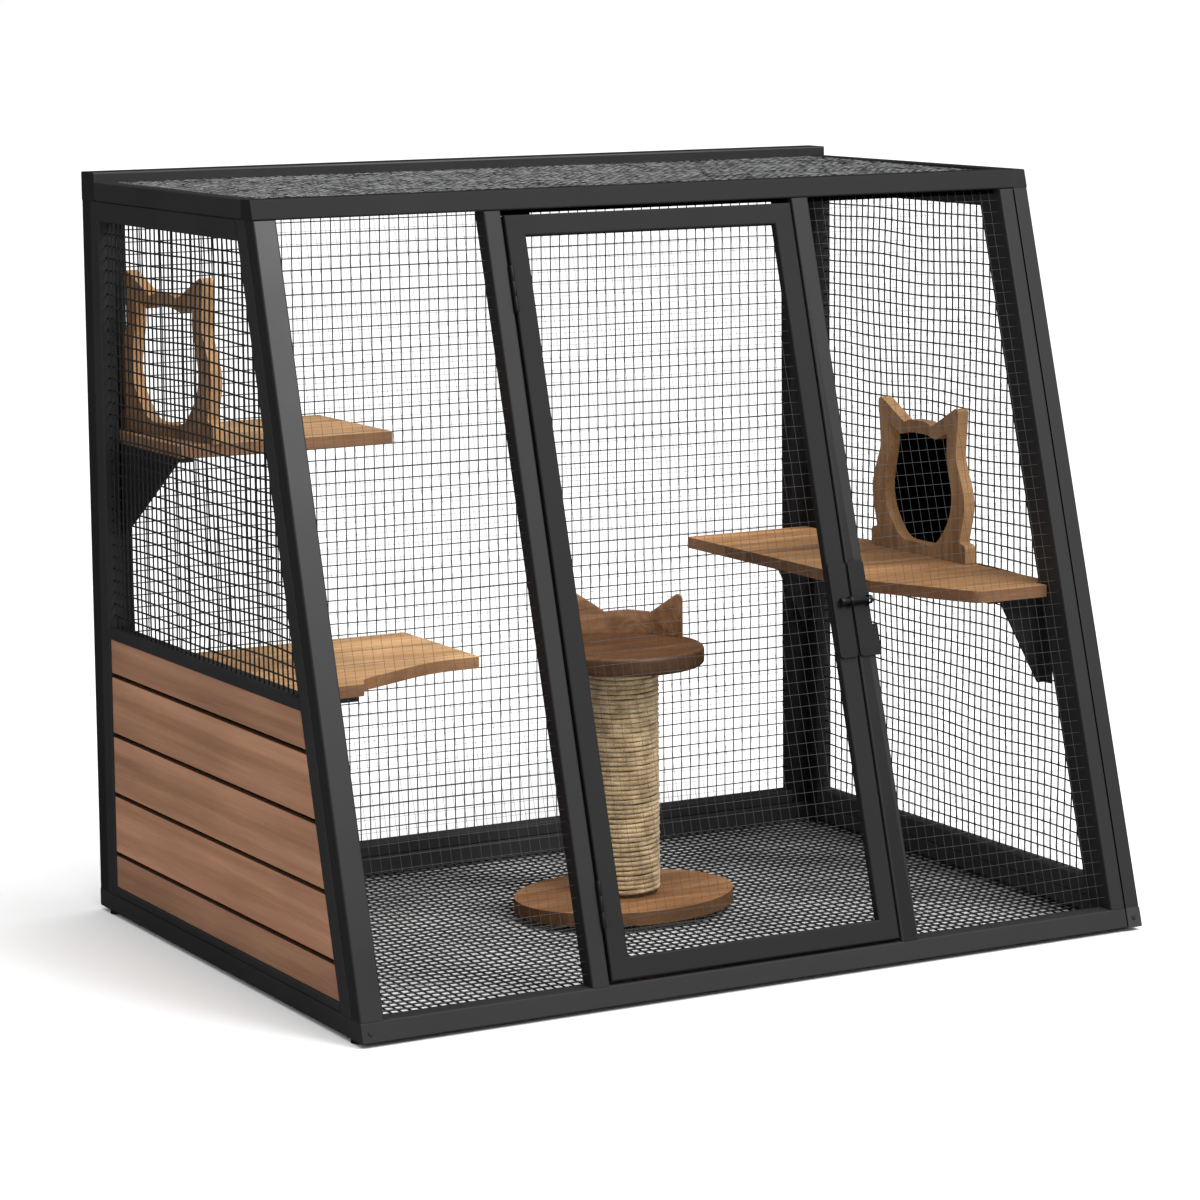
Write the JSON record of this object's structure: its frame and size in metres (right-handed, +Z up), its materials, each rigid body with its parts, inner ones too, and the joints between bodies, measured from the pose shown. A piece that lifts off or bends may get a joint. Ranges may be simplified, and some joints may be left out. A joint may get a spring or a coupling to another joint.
{
  "type": "cat cage",
  "caption": "Free-standing wire-mesh cat cage with a sloping front, a side-hinged latched door, wooden shelves, cat-head hoops and a scratching post.",
  "frame": {"origin": "centre of the footprint, on the ground", "axes": "+Z up; +X along the width, towards the latch side; +Y from the sloping front towards the upright rear panel"},
  "size_m": [1.8, 1.31, 1.588],
  "materials": {
    "frame_coat": "satin powder coat",
    "wire": "coated welded wire",
    "board_wood": "oiled, satin",
    "slat_wood": "stained, satin",
    "post_wood": "stained, satin",
    "core_board": "plain",
    "sisal": "twisted fibre",
    "fitting": "black coat",
    "plug_plastic": "moulded",
    "backing": "matt black",
    "foot_rubber": "moulded"
  },
  "bodies": {
    "cage": {"base_front_rail": "frame_coat", "base_left_rail": "frame_coat", "base_right_rail": "frame_coat", "base_rear_rail": "frame_coat", "roof_front_rail": "frame_coat", "roof_left_rail": "frame_coat", "roof_right_rail": "frame_coat", "ridge_rail": "frame_coat", "ridge_plug": "plug_plastic", "left_corner_post": "frame_coat", "hinge_jamb": "frame_coat", "latch_jamb": "frame_coat", "right_corner_post": "frame_coat", "left_front_stile": "frame_coat", "left_rear_stile": "frame_coat", "left_top_rail": "frame_coat", "left_mid_rail": "frame_coat", "left_bottom_rail": "frame_coat", "right_front_stile": "frame_coat", "right_rear_stile": "frame_coat", "right_top_rail": "frame_coat", "right_bottom_rail": "frame_coat", "rear_left_stile": "frame_coat", "rear_right_stile": "frame_coat", "rear_top_rail": "frame_coat", "rear_bottom_rail": "frame_coat", "side_slats": "slat_wood", "left_mesh": "wire", "right_mesh": "wire", "rear_mesh": "wire", "roof_mesh": "wire", "floor_mesh": "wire", "front_left_mesh": "wire", "front_right_mesh": "wire", "upper_shelf": "board_wood", "lower_shelf": "board_wood", "right_shelf": "board_wood", "upper_hoop": "board_wood", "right_hoop": "board_wood", "hoop_backing": "backing", "left_brackets": "fitting", "right_brackets": "fitting", "post_base": "post_wood", "post_core": "core_board", "sisal_rope": "sisal", "post_platform": "post_wood", "post_backrest": "post_wood", "feet": "foot_rubber", "frame_bolts": "fitting", "jamb_hinge_leaves": "fitting", "hinge_pins": "fitting", "jamb_plate": "fitting"},
    "door": {"door_hinge_stile": "frame_coat", "door_latch_stile": "frame_coat", "door_top_rail": "frame_coat", "door_bottom_rail": "frame_coat", "door_mesh": "wire", "door_hinge_leaves": "fitting", "latch_plate": "fitting"},
    "bolt": {"latch_bolt": "fitting"}
  },
  "joints": [
    {"name": "door_hinge", "type": "hinge", "parent": "cage", "child": "door", "pos_m": [-0.36175, -0.44245, 0.77926], "axis": [0, -0.2715, -0.9624], "range_deg": [0, 110]},
    {"name": "latch_slide", "type": "slide", "parent": "door", "child": "bolt", "axis": [1, 0, 0], "range_m": [-0.012, 0.01]}
  ]
}
